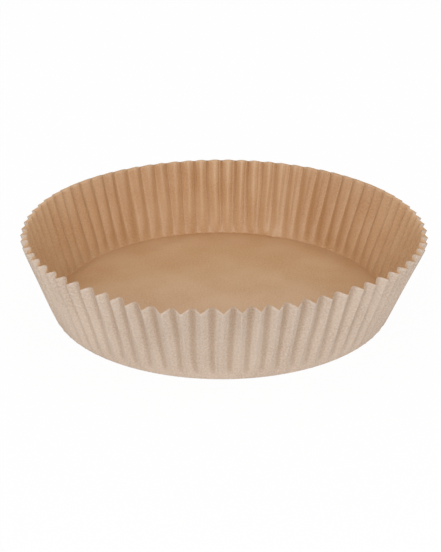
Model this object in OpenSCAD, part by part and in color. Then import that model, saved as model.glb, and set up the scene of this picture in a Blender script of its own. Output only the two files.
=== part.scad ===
// A round fluted paper liner for an air fryer basket. One disc of baking paper is pressed into
// a flat floor and a leaning wall, and the wall takes up its spare paper in even flutes.
// Millimetres, +Z up, with the origin at the centre of the floor's underside.

/* [Floor] */
// Diameter of the flat floor, measured at the fold where the wall begins
floor_d = 200; // [120:1:260]

/* [Wall] */
// Length of the wall up its slope, from the fold to the rim
wall_length = 50; // [25:1:70]
// Angle of the wall away from upright, in degrees
wall_lean = 18; // [8:1:40]

/* [Flutes] */
// Number of flutes round the wall
flute_count = 76; // [40:4:88]
// Reach of the rounded inner fold to either side of its middle, as a share of a flute
fold_reach = 0.2; // [0.1:0.01:0.3]

/* [Paper] */
// Thickness of the paper
paper_t = 0.06; // [0.04:0.01:0.3]

/* [Hidden] */

// Rings of points up the wall, closer together near the fold, where a flute deepens fastest.
ring_count = 5;
ring_gather = 1.6;
// Points of one flute, as shares of it: the ridge outside is one crease at 0, and the fold
// inside is rounded about a half.
flute_points = [
    0,
    0.5 - fold_reach,
    0.5 - fold_reach / 2,
    0.5,
    0.5 + fold_reach / 2,
    0.5 + fold_reach
];
column_count = flute_count * len(flute_points);
floor_r = floor_d / 2;
// Step along the wall, in mm and in degrees, for the slopes that give the paper's own direction.
slope_step = 0.01;

// Depth of the flutes at a distance s up the wall, from ridge to fold. Paper can't stretch, so
// half a flute is as wide as the flat disc gives it there, and its slope is what is left over
// from the leaning wall's own girth.
function depth_at(s) =
    let (flat_r = floor_r + s, wall_r = floor_r + s * sin(wall_lean))
    PI / flute_count * sqrt(flat_r ^ 2 - wall_r ^ 2);

// Height of the wave at a share u of the flute: 1 on the ridge, -1 in the middle of the fold,
// straight on the flanks and a parabola round the fold.
function wave(u) =
    let (from_ridge = abs(u - round(u)), from_fold = 0.5 - from_ridge)
    from_fold > fold_reach ? 1 - 4 * from_ridge / (1 - fold_reach)
    : 2 * from_fold ^ 2 / (fold_reach * (1 - fold_reach)) - 1;

// A point of the wall's outer face, at a distance s up the wall and an angle a round it.
function wall_point(s, a) =
    let (
        stand_out = wave(a * flute_count / 360) * depth_at(s) / 2,
        r = floor_r + s * sin(wall_lean) + stand_out * cos(wall_lean),
        z = s * cos(wall_lean) - stand_out * sin(wall_lean)
    )
    [r * cos(a), r * sin(a), z];

// The way in through the paper at a point of the wall, as a unit vector.
function inward(s, a) =
    let (
        up = wall_point(s + slope_step, a) - wall_point(s - slope_step, a),
        along = wall_point(s, a + slope_step) - wall_point(s, a - slope_step),
        n = cross(up, along)
    )
    n / norm(n);

// The same point of the wall's inner face, one paper thickness in. At the fold it lies where
// the inner faces of the floor and the wall meet.
function inner_point(s, a) =
    let (mitre = (1 - sin(wall_lean)) / cos(wall_lean))
    s == 0 ? [(floor_r - paper_t * mitre) * cos(a), (floor_r - paper_t * mitre) * sin(a), paper_t]
    : wall_point(s, a) + paper_t * inward(s, a);

function ring_height(j) = wall_length * (j / ring_count) ^ ring_gather;
function column_angle(i) =
    let (points = len(flute_points))
    (floor(i / points) + flute_points[i % points]) * 360 / flute_count;

// The triangles of a four-sided patch whose corners are given in order.
function patch(a, b, c, d) = [[a, b, c], [a, c, d]];

// The whole sheet: outer face, inner face, rim edge, and a fan of triangles under and over
// the floor.
module pressed_sheet() {
    rings = [0 : ring_count];
    columns = [0 : column_count - 1];
    face_size = (ring_count + 1) * column_count;
    underside_centre = 2 * face_size;
    top_centre = underside_centre + 1;

    outer = [for (j = rings, i = columns) wall_point(ring_height(j), column_angle(i))];
    inner = [for (j = rings, i = columns) inner_point(ring_height(j), column_angle(i))];
    centres = [[0, 0, 0], [0, 0, paper_t]];

    function next(i) = (i + 1) % column_count;
    function out(j, i) = j * column_count + i;
    function in(j, i) = face_size + out(j, i);

    wall_faces = [
        for (j = [0 : ring_count - 1], i = columns)
            each concat(
                patch(out(j, i), out(j + 1, i), out(j + 1, next(i)), out(j, next(i))),
                patch(in(j, i), in(j, next(i)), in(j + 1, next(i)), in(j + 1, i))
            )
    ];
    rim_faces = [
        for (i = columns)
            each patch(
                out(ring_count, i),
                in(ring_count, i),
                in(ring_count, next(i)),
                out(ring_count, next(i))
            )
    ];
    floor_faces = [
        for (i = columns)
            each [
                [underside_centre, out(0, i), out(0, next(i))],
                [top_centre, in(0, next(i)), in(0, i)]
            ]
    ];
    polyhedron(concat(outer, inner, centres), concat(wall_faces, rim_faces, floor_faces), 2);
}

module paper_liner() {
    color("#C49A6E")
        pressed_sheet();
}

paper_liner();
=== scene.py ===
"""A round fluted air fryer liner of baking paper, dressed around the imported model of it."""

import math

import bmesh
import bpy
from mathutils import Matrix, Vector, noise


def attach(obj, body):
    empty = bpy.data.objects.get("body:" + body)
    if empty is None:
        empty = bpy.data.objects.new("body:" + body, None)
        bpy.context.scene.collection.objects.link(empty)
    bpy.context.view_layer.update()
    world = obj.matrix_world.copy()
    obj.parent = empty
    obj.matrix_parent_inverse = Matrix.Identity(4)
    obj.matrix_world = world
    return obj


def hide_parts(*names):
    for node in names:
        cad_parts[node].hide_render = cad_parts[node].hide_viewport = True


MM = 0.001

# The liner's sizes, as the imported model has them
FLOOR_RADIUS = 100 * MM
WALL_LENGTH = 50 * MM
WALL_LEAN = math.radians(18)
FLUTES = 76
FOLD_REACH = 0.2
PAPER = 0.06 * MM

# Columns of points in one flute, and the radii of the rings on the flat disc
FLUTE_COLUMNS = 12
FLOOR_RINGS_MM = (6, 14, 24, 34, 43, 52, 60, 67, 74, 80, 85, 89, 92, 94.5, 96.3, 97.6, 98.5)
CREASE_RINGS_MM = (99.3, 99.7, 100, 100.4, 101, 102, 103.4, 105)
WALL_RINGS = 25

# The crease between floor and wall is pressed over this much paper to either side
CREASE_REACH = 0.6 * MM

# The flutes stray sideways in two soft waves, and their depths differ in one. Each wave has its
# reach, as a share of a flute's width or depth, its number of cells round the liner, its seed, and
# how far the seed has drifted at the rim. The sway is whole from this share of the wall up
FLUTE_SWAYS = (
    (0.13, 30, 5.5, 0.9),
    (0.12, 70, 8.5, 1.3),
)
FLUTE_DEPTH_SPREAD = (0.15, 40, 0.0, 1.7)
WHOLE_SWAY_CLIMB = 0.25

# A thin second crease down one flank, on the flutes that the press caught twice: the column of
# points that it follows, its depth, the share of the wall where it is whole, and its share of the
# shade painted on an outer ridge
DOUBLED_FLUTES = (7, 11, 12, 13, 14, 15, 16, 17, 18, 19, 27, 38, 39, 51, 60, 61, 70)
SECOND_CREASE_COLUMN = 3
SECOND_CREASE_DEPTH = 0.5 * MM
WHOLE_SECOND_CREASE_CLIMB = 0.4
SECOND_CREASE_SHADE = 0.85

# The rim wanders in a soft wave: how far, the number of its cells, and its seed
RIM_WANDER = (0.9 * MM, 9, 3.1)

# Where handling has pushed the rim out or in: angle and half-width in degrees, then the push. The
# push fades down the wall by this power
RIM_PUSH_POWER = 1.3
RIM_PUSHES = (
    (0, 42, 2.0 * MM),
    (180, 38, -1.4 * MM),
    (-105, 9, 2.6 * MM),
    (-58, 20, -1.9 * MM),
    (-128, 10, -0.9 * MM),
)

# The rim stands a little higher at the inner folds than at the outer ridges, which fades too
RIM_SCALLOP = 0.33 * MM
RIM_SCALLOP_POWER = 3

# Shade is painted into the paper in the crease, and this far over the floor beside it. A share of
# that painted shade goes up the foot of the wall
CREASE_SHADE_REACH = 5 * MM
FOOT_SHADE_SHARE = 0.45

# The shade painted in the flutes' valleys is whole from a share of the wall up. It has this strength
# at the foot, one at the rim, and a share less at the two sides
WHOLE_SHADE_CLIMB = 0.125
FLUTE_SHADE_AT_FOOT = 0.7
SIDE_SHADE_LOSS = 0.6

# A paler highlight is painted on the inner folds under the rim, over about this much of the wall
RIM_HIGHLIGHT_REACH = 5 * MM

# Where shade is painted darker on the inner folds, and less shade is painted on the outer ridges and
# the crease: angle and half-width in degrees, then how much
FOLD_SHADES = (
    (46, 22, 0.6),
    (130, 26, 0.42),
)

# The floor bows up a little inside its crease
FLOOR_BOW = 1.0 * MM
FLOOR_BOW_REACH = 4 * MM

# It undulates too, about this height: the waves' cells in x and y, their seed and their height.
# They die away towards the crease over the margin
FLOOR_WAVE_MIDDLE = 0.24 * MM
FLOOR_WAVES = (
    (85 * MM, 60 * MM, 4.2, 0.8 * MM),
    (34 * MM, 24 * MM, 9.7, 0.4 * MM),
)
FLOOR_WAVE_MARGIN = 20 * MM

# Low ridges wrinkle the floor: the place of each one's middle, its direction in degrees, its reach
# along that and across it, its height, and how much darker it makes the paper. They end at the crease
WRINKLE_MARGIN = 1 * MM
WRINKLES = (
    (-34 * MM, 73 * MM, 45, 22 * MM, 5 * MM, 1.3 * MM, 0.08),
    (63 * MM, 58 * MM, -54, 22 * MM, 7 * MM, 1.2 * MM, 0.3),
    (-84 * MM, 40 * MM, 66, 12 * MM, 3 * MM, 0.9 * MM, 0.1),
)

# The foot of the wall is dented in at one place: angle and half-width in degrees, how far in, and
# how far up the wall and over the floor the dent goes, and its share of the crease's painted shade
DENT_ANGLE = 69.5
DENT_HALF_WIDTH = 2.6
DENT_DEPTH = 2.4 * MM
DENT_REACH = 5 * MM
DENT_SHADE = 0.6

# The pulp is cloudy at this size. Its fibres are too fine to show, so the flocks of them that do
# show are drawn at the size after it
CLOUD = 30 * MM
FLOCK = 1.1 * MM

# Where shade and highlight are painted. The sheet holds a value for each of these at every point
PAINTED_LIGHT_LAYERS = ("flute", "crease", "rim", "fold")


def linear(hex_colour):
    """The linear colour of an sRGB hex value."""
    channels = [int(hex_colour[i:i + 2], 16) / 255 for i in (1, 3, 5)]
    return [c / 12.92 if c <= 0.04045 else ((c + 0.055) / 1.055) ** 2.4 for c in channels] + [1.0]


def add_node(tree, kind, settings=None, inputs=None):
    """Add a node, with its settings, and set or link its inputs."""
    made = tree.nodes.new(kind)
    for name, value in (settings or {}).items():
        setattr(made, name, value)
    for name, value in (inputs or {}).items():
        if isinstance(value, bpy.types.NodeSocket):
            tree.links.new(value, made.inputs[name])
        else:
            made.inputs[name].default_value = value
    return made


def round_noise(angle, cells, seed):
    """Smooth noise from -1 to 1 that closes on itself round the liner, with so many cells round it."""
    radius = cells / (2 * math.pi)
    return noise.noise(Vector((radius * math.cos(angle), radius * math.sin(angle), seed)))


def flute_wave(share):
    """Height of the flute's wave: 1 on the outer ridge, -1 in the middle of the rounded inner fold."""
    from_ridge = abs(share - round(share))
    from_fold = 0.5 - from_ridge
    if from_fold > FOLD_REACH:
        return 1 - 4 * from_ridge / (1 - FOLD_REACH)
    return 2 * from_fold ** 2 / (FOLD_REACH * (1 - FOLD_REACH)) - 1


def flute_depth(up_wall):
    """Depth that the flat disc's spare paper gives a flute at this distance up the wall."""
    flat_radius = FLOOR_RADIUS + up_wall
    wall_radius = FLOOR_RADIUS + up_wall * math.sin(WALL_LEAN)
    return math.pi / FLUTES * math.sqrt(flat_radius ** 2 - wall_radius ** 2)


def is_second_crease(share):
    """Whether a column of points lies in the second crease of a doubled flute."""
    flute, column = divmod(round(share * FLUTE_COLUMNS), FLUTE_COLUMNS)
    return column == SECOND_CREASE_COLUMN and flute % FLUTES in DOUBLED_FLUTES


def swell_at(angle, swells):
    """Sum of the soft swells round the liner, each with a middle and half-width in degrees and a size."""
    total = 0.0
    for middle, half_width, size in swells:
        off = (math.degrees(angle) - middle + 180) % 360 - 180
        total += size * math.exp(-(off / half_width) ** 2)
    return total


def rim_push(angle):
    """How far out the rim has been pushed at an angle round the liner."""
    reach, cells, seed = RIM_WANDER
    return reach * round_noise(angle, cells, seed) + swell_at(angle, RIM_PUSHES)


def dent_at(angle, from_crease):
    """Share of the dent in the wall's foot that is reached here, from 0 to 1."""
    off = (math.degrees(angle) - DENT_ANGLE) / DENT_HALF_WIDTH
    return math.exp(-off ** 2 - (from_crease / DENT_REACH) ** 2)


def slope_at(flat_radius):
    """Slope of the pressed sheet: level on the floor, then turning up to the wall's over the crease."""
    share = (flat_radius - FLOOR_RADIUS + CREASE_REACH) / (2 * CREASE_REACH)
    return (math.pi / 2 - WALL_LEAN) * min(max(share, 0), 1)


def pressed_profile(flat_radii):
    """Radius, height and slope of each ring of the flat disc once it is pressed, from the centre out."""
    steps = 8
    radius, height, reached = 0.0, 0.0, 0.0
    profile = []
    for flat_radius in flat_radii:
        step = (flat_radius - reached) / steps
        for i in range(steps):
            slope = slope_at(reached + (i + 0.5) * step)
            radius += step * math.cos(slope)
            height += step * math.sin(slope)
        reached = flat_radius
        profile.append((radius, height, slope_at(flat_radius)))
    return profile


def cut_disc(rings):
    """A flat disc of paper, with its points in columns along the flutes and in rings."""
    disc = bmesh.new()
    columns = FLUTES * FLUTE_COLUMNS
    bmesh.ops.create_circle(disc, cap_ends=True, cap_tris=True, segments=columns, radius=rings[0])
    edge = [e for e in disc.edges if e.is_boundary]
    for inner, outer in zip(rings, rings[1:]):
        grown = bmesh.ops.extrude_edge_only(disc, edges=edge)["geom"]
        verts = [g for g in grown if isinstance(g, bmesh.types.BMVert)]
        bmesh.ops.scale(disc, vec=(outer / inner, outer / inner, 1), verts=verts)
        edge = [g for g in grown if isinstance(g, bmesh.types.BMEdge)]
    bmesh.ops.remove_doubles(disc, verts=disc.verts, dist=1e-7)
    bmesh.ops.recalc_face_normals(disc, faces=disc.faces)
    if sum(f.normal.z for f in disc.faces) > 0:
        bmesh.ops.reverse_faces(disc, faces=disc.faces)
    return disc


def wrinkles_at(x, y):
    """Height of the floor's wrinkles at a place, and how much darker they make the paper there."""
    height, tint_share = 0.0, 0.0
    for middle_x, middle_y, direction, reach, half_width, ridge, dark in WRINKLES:
        turn = math.radians(direction)
        along = ((x - middle_x) * math.cos(turn) + (y - middle_y) * math.sin(turn)) / reach
        across = ((y - middle_y) * math.cos(turn) - (x - middle_x) * math.sin(turn)) / half_width
        share = math.exp(-along ** 2 - across ** 2)
        height += ridge * share
        tint_share += dark * share
    return height, tint_share


def floor_lift(x, y, radius):
    """Height of the floor above its crease: a shallow bow, with soft waves and wrinkles on it."""
    from_crease = max(0, FLOOR_RADIUS - radius)
    bow = FLOOR_BOW * (1 - math.exp(-from_crease / FLOOR_BOW_REACH))
    wave = FLOOR_WAVE_MIDDLE
    for cell_x, cell_y, seed, height in FLOOR_WAVES:
        wave += height * noise.noise(Vector((x / cell_x, y / cell_y, seed)))
    wave *= min(1, from_crease / FLOOR_WAVE_MARGIN)
    wrinkle = wrinkles_at(x, y)[0] * min(1, from_crease / WRINKLE_MARGIN)
    return bow + wave + wrinkle


def press_point(co, profile):
    """Where a point of the flat disc goes when the disc is pressed into the liner."""
    flat_radius = math.hypot(co.x, co.y)
    angle = math.atan2(co.y, co.x)
    ring = min(range(len(profile)), key=lambda i: abs(profile[i][0] - flat_radius))
    _, radius, height, slope = profile[ring]
    up_wall = max(0.0, flat_radius - FLOOR_RADIUS)
    climb = up_wall / WALL_LENGTH
    share = angle * FLUTES / (2 * math.pi)

    reach, cells, seed, drift = FLUTE_DEPTH_SPREAD
    spread = 1 + reach * round_noise(angle, cells, seed + drift * climb)
    stand_out = flute_wave(share) * flute_depth(up_wall) / 2 * spread
    if is_second_crease(share):
        stand_out += SECOND_CREASE_DEPTH * min(1, climb / WHOLE_SECOND_CREASE_CLIMB)
    stand_out += rim_push(angle) * climb ** RIM_PUSH_POWER
    stand_up = -RIM_SCALLOP * flute_wave(share) * climb ** RIM_SCALLOP_POWER
    radius += stand_out * math.sin(slope) + stand_up * math.cos(slope)
    radius -= DENT_DEPTH * dent_at(angle, flat_radius - FLOOR_RADIUS)
    height += stand_up * math.sin(slope) - stand_out * math.cos(slope)

    sway = 0.0
    for reach, cells, seed, drift in FLUTE_SWAYS:
        sway += reach * round_noise(angle, cells, seed + drift * climb)
    angle += sway * min(1, climb / WHOLE_SWAY_CLIMB) * 2 * math.pi / FLUTES

    x, y = radius * math.cos(angle), radius * math.sin(angle)
    if up_wall == 0:
        height += floor_lift(x, y, radius)
    return Vector((x, y, height))


def painted_light_at(place):
    """How much shade and highlight is painted at a place on the flat disc: a value for each layer."""
    angle = math.atan2(place.y, place.x)
    share = angle * FLUTES / (2 * math.pi)
    from_crease = place.xy.length - FLOOR_RADIUS
    climb = max(0, from_crease / WALL_LENGTH)
    on_wall = min(1, climb / WHOLE_SHADE_CLIMB)
    # Painted shade on the inner folds at these places, which lessens the other painted shade there
    fold_shade = swell_at(angle, FOLD_SHADES)

    # Painted shade in the valleys: high on the outer ridges and second creases, low on the inner folds
    flute = SECOND_CREASE_SHADE if is_second_crease(share) else flute_wave(share)
    flute *= on_wall * (FLUTE_SHADE_AT_FOOT + (1 - FLUTE_SHADE_AT_FOOT) * climb)
    flute *= (1 - SIDE_SHADE_LOSS * math.cos(angle) ** 2) * (1 - fold_shade)

    # Painted shade in the crease round the floor and in the dent; the paper is darker along the wrinkles
    crease = math.exp(-abs(from_crease) / CREASE_SHADE_REACH) * (1 - fold_shade)
    if from_crease > CREASE_REACH:
        crease *= FOOT_SHADE_SHARE
    elif from_crease < 0:
        crease += wrinkles_at(place.x, place.y)[1] + DENT_SHADE * dent_at(angle, from_crease)

    fold_share = 0.5 - 0.5 * flute_wave(share)
    # Painted highlight: the inner folds are paler just under the rim
    rim = fold_share * math.exp((from_crease - WALL_LENGTH) / RIM_HIGHLIGHT_REACH)
    return flute, crease, rim, fold_share * on_wall * fold_shade


def press_liner():
    """The liner's sheet: outside, inside and cut edge, with a thickness and a material for each."""
    rings = [r * MM for r in FLOOR_RINGS_MM + CREASE_RINGS_MM]
    gap = (FLOOR_RADIUS + WALL_LENGTH - rings[-1]) / WALL_RINGS
    rings += [rings[-1] + gap * (i + 1) for i in range(WALL_RINGS)]
    profile = [(flat, *p) for flat, p in zip([0.0] + rings, pressed_profile([0.0] + rings))]
    sheet = cut_disc(rings)

    flat_layer = sheet.verts.layers.float_vector.new("flat_place")
    painted_light_layers = [sheet.verts.layers.float.new(name) for name in PAINTED_LIGHT_LAYERS]
    for vert in sheet.verts:
        vert[flat_layer] = vert.co
        for layer, tint_share in zip(painted_light_layers, painted_light_at(vert.co)):
            vert[layer] = tint_share
    for vert in sheet.verts:
        vert.co = press_point(vert.co, profile)
    for face in sheet.faces:
        face.smooth = True

    mesh = bpy.data.meshes.new("paper_sheet")
    sheet.to_mesh(mesh)
    sheet.free()
    piece = bpy.data.objects.new("paper_sheet", mesh)
    bpy.context.scene.collection.objects.link(piece)
    for finish in (outside_paper(), inside_paper(), cut_edge_paper()):
        mesh.materials.append(finish)
    thicken = piece.modifiers.new("paper_thickness", "SOLIDIFY")
    thicken.thickness = PAPER
    thicken.offset = -1
    thicken.use_even_offset = True
    thicken.material_offset = 1
    thicken.material_offset_rim = 2
    return piece


def paper_material(name, deep, mid, pale, fleck_share, roughness, relief_mm):
    """Unbleached greaseproof paper: cloudy pulp flecked with short pale fibres.

    deep, mid and pale are the pulp's colours, from its denser clouds to its bare fibres. The
    pattern lies on the flat disc, so it follows the sheet over the crease and the flutes.
    Returns the material, its shader, and the paper's colour before shade or highlight is painted on it.
    """
    material = bpy.data.materials.new(name)
    material.use_nodes = True
    tree = material.node_tree
    shader = tree.nodes["Principled BSDF"]
    place = add_node(tree, "ShaderNodeAttribute", {"attribute_name": "flat_place"}).outputs["Vector"]

    cloud = add_node(
        tree, "ShaderNodeTexNoise",
        inputs={"Vector": place, "Scale": 1 / CLOUD, "Detail": 5.0, "Roughness": 0.5},
    ).outputs["Fac"]
    cloud_share = add_node(
        tree, "ShaderNodeMapRange",
        inputs={"Value": cloud, "From Min": 0.36, "From Max": 0.62},
    ).outputs["Result"]
    pulp = add_node(
        tree, "ShaderNodeMix", {"data_type": "RGBA"},
        {0: cloud_share, 6: linear(deep), 7: linear(mid)},
    ).outputs[2]

    fibre = add_node(
        tree, "ShaderNodeTexNoise",
        inputs={"Vector": place, "Scale": 1 / FLOCK, "Detail": 3.0, "Roughness": 0.65},
    ).outputs["Fac"]
    fibre_share = add_node(
        tree, "ShaderNodeMapRange",
        inputs={"Value": fibre, "From Min": 0.36, "From Max": 0.66, "To Max": fleck_share},
    ).outputs["Result"]
    flecked = add_node(
        tree, "ShaderNodeMix", {"data_type": "RGBA"},
        {0: fibre_share, 6: pulp, 7: linear(pale)},
    ).outputs[2]

    relief = add_node(
        tree, "ShaderNodeBump",
        inputs={"Strength": 0.5, "Distance": relief_mm * MM, "Height": fibre},
    ).outputs["Normal"]
    tree.links.new(relief, shader.inputs["Normal"])
    shader.inputs["Roughness"].default_value = roughness
    shader.inputs["IOR"].default_value = 1.45
    return material, shader, flecked


def paint_light_tint(tree, colour, place, start, end, tint, blend="MULTIPLY"):
    """Paint a shade or highlight tint into the paper, as an attribute of the sheet goes from start to
    end.
    """
    where = add_node(tree, "ShaderNodeAttribute", {"attribute_name": place}).outputs["Fac"]
    share = add_node(
        tree, "ShaderNodeMapRange",
        inputs={"Value": where, "From Min": start, "From Max": end},
    ).outputs["Result"]
    return add_node(
        tree, "ShaderNodeMix", {"data_type": "RGBA", "blend_type": blend},
        {0: share, 6: colour, 7: linear(tint)},
    ).outputs[2]


def inside_paper():
    """The side that food lies on: tan, with a smooth baked-on release coat and its faint gloss.

    Its valleys are the outer ridges. Shade is painted there, in the crease round the floor, in the dent
    and on some of the folds, and a paler highlight is painted on the folds under the rim.
    """
    material, shader, colour = paper_material(
        "release_coated_kraft", "#BA8D60", "#C49D75", "#D3B18C", 0.65, 0.34, 0.03
    )
    tree = material.node_tree
    # Painted shade in the outer ridges, the valleys seen from this side, and in the second creases
    colour = paint_light_tint(tree, colour, "flute", 0.3, 0.9, "#D3B896")
    # Painted shade on the inner folds towards the two sides of the back
    colour = paint_light_tint(tree, colour, "fold", 0.0, 1.0, "#D3B896")
    # Painted shade in the crease and the dent; the paper is also darker along the floor's wrinkles
    colour = paint_light_tint(tree, colour, "crease", 0.0, 1.0, "#EEDFCB")
    # Painted highlight on the inner folds under the rim, screened paler
    colour = paint_light_tint(tree, colour, "rim", 0.0, 1.0, "#5A564E", "SCREEN")
    tree.links.new(colour, shader.inputs["Base Color"])
    return material


def outside_paper():
    """The bare side: the same pulp without the coat, matt, paler and more mottled.

    Its valleys are the inner folds, and shade is painted along them.
    """
    material, shader, colour = paper_material(
        "bare_kraft", "#B7A08C", "#C2AD9A", "#D3C4B7", 0.8, 0.8, 0.025
    )
    tree = material.node_tree
    # Painted shade along the inner folds, the valleys seen from this side
    colour = paint_light_tint(tree, colour, "flute", -0.3, -0.95, "#DDD3C8")
    tree.links.new(colour, shader.inputs["Base Color"])
    return material


def cut_edge_paper():
    """The die-cut rim, where the pulp is cut across and looks browner than its faces."""
    material, shader, colour = paper_material(
        "cut_kraft_edge", "#C79F76", "#CCA67F", "#D6B592", 0.5, 0.8, 0.02
    )
    material.node_tree.links.new(colour, shader.inputs["Base Color"])
    return material


def add_floor():
    """A plain white table top, a hair below the liner, which keeps the liner's soft shadow."""
    half_size = 6
    gap = 0.02 * MM
    white_to_camera = 0.955

    table = bmesh.new()
    bmesh.ops.create_grid(table, x_segments=1, y_segments=1, size=half_size)
    bmesh.ops.translate(table, vec=(0, 0, -gap), verts=table.verts)
    mesh = bpy.data.meshes.new("table_top")
    table.to_mesh(mesh)
    table.free()
    piece = bpy.data.objects.new("table_top", mesh)
    bpy.context.scene.collection.objects.link(piece)

    material = bpy.data.materials.new("white_table")
    material.use_nodes = True
    tree = material.node_tree
    shader = tree.nodes["Principled BSDF"]
    shader.inputs["Base Color"].default_value = linear("#F4F4F3")
    shader.inputs["Roughness"].default_value = 0.9
    seen = add_node(tree, "ShaderNodeLightPath").outputs["Is Camera Ray"]
    white_share = add_node(
        tree, "ShaderNodeMath", {"operation": "MULTIPLY"}, {0: seen, 1: white_to_camera},
    ).outputs[0]
    white = add_node(
        tree, "ShaderNodeEmission",
        inputs={"Color": (1, 1, 1, 1), "Strength": 1.0},
    ).outputs["Emission"]
    surface = add_node(
        tree, "ShaderNodeMixShader",
        inputs={0: white_share, 1: shader.outputs["BSDF"], 2: white},
    ).outputs[0]
    tree.links.new(surface, tree.nodes["Material Output"].inputs["Surface"])
    mesh.materials.append(material)


def light_studio():
    """A white studio: light from all round, brightest at the horizon, and one soft lamp in front."""
    horizon_strength = 1.0
    overhead_strength = 0.68

    world = bpy.data.worlds.new("studio")
    bpy.context.scene.world = world
    world.use_nodes = True
    tree = world.node_tree
    tree.nodes.clear()
    path = add_node(tree, "ShaderNodeLightPath").outputs
    seen = add_node(
        tree, "ShaderNodeMath", {"operation": "MAXIMUM"},
        {0: path["Is Camera Ray"], 1: path["Is Transmission Ray"]},
    ).outputs[0]
    seen_or_mirrored = add_node(
        tree, "ShaderNodeMath", {"operation": "MAXIMUM"}, {0: seen, 1: path["Is Glossy Ray"]},
    ).outputs[0]
    up = add_node(tree, "ShaderNodeTexCoord").outputs["Generated"]
    climb = add_node(tree, "ShaderNodeSeparateXYZ", inputs={0: up}).outputs["Z"]
    strength = add_node(
        tree, "ShaderNodeMapRange",
        inputs={"Value": climb, "To Min": horizon_strength, "To Max": overhead_strength},
    ).outputs["Result"]
    soft = add_node(tree, "ShaderNodeBackground", inputs={"Color": (1, 1, 1, 1), "Strength": strength})
    white = add_node(tree, "ShaderNodeBackground", inputs={"Color": (1, 1, 1, 1), "Strength": 1.0})
    sky = add_node(
        tree, "ShaderNodeMixShader",
        inputs={0: seen_or_mirrored, 1: soft.outputs[0], 2: white.outputs[0]},
    ).outputs[0]
    add_node(tree, "ShaderNodeOutputWorld", inputs={"Surface": sky})

    lamp = bpy.data.lights.new("softbox", "AREA")
    lamp.shape = "RECTANGLE"
    lamp.size = 2.4
    lamp.size_y = 1.8
    lamp.energy = 33
    holder = bpy.data.objects.new("softbox", lamp)
    holder.location = (-0.12, -2.5, 1.45)
    aim = Vector((0, 0, 0.02)) - holder.location
    holder.rotation_euler = aim.to_track_quat("-Z", "Y").to_euler()
    bpy.context.scene.collection.objects.link(holder)


def place_camera():
    """The photograph's view: low over the front rim, from just over half a metre away."""
    distance = 621 * MM
    elevation = math.radians(25.7)
    aim = Vector((-0.6 * MM, 0, 12.9 * MM))
    sensor = 36
    frame_height_px = 552
    focal_px = 1028

    camera = bpy.data.cameras.new("camera")
    camera.sensor_fit = "AUTO"
    camera.sensor_width = sensor
    camera.lens = focal_px / frame_height_px * sensor
    camera.clip_start = 0.01
    holder = bpy.data.objects.new("camera", camera)
    holder.location = (0, -distance * math.cos(elevation), distance * math.sin(elevation))
    holder.rotation_euler = (aim - holder.location).to_track_quat("-Z", "Y").to_euler()
    bpy.context.scene.collection.objects.link(holder)
    bpy.context.scene.camera = holder


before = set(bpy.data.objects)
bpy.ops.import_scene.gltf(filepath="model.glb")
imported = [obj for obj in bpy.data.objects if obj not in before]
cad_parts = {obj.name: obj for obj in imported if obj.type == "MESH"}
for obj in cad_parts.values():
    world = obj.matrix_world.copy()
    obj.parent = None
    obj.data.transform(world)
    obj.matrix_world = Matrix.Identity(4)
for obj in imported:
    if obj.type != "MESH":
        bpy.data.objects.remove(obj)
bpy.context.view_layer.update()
bpy.context.scene.view_settings.view_transform = "Standard"

place_camera()
light_studio()
add_floor()

liner = press_liner()
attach(liner, "root")
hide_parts("paper_liner")
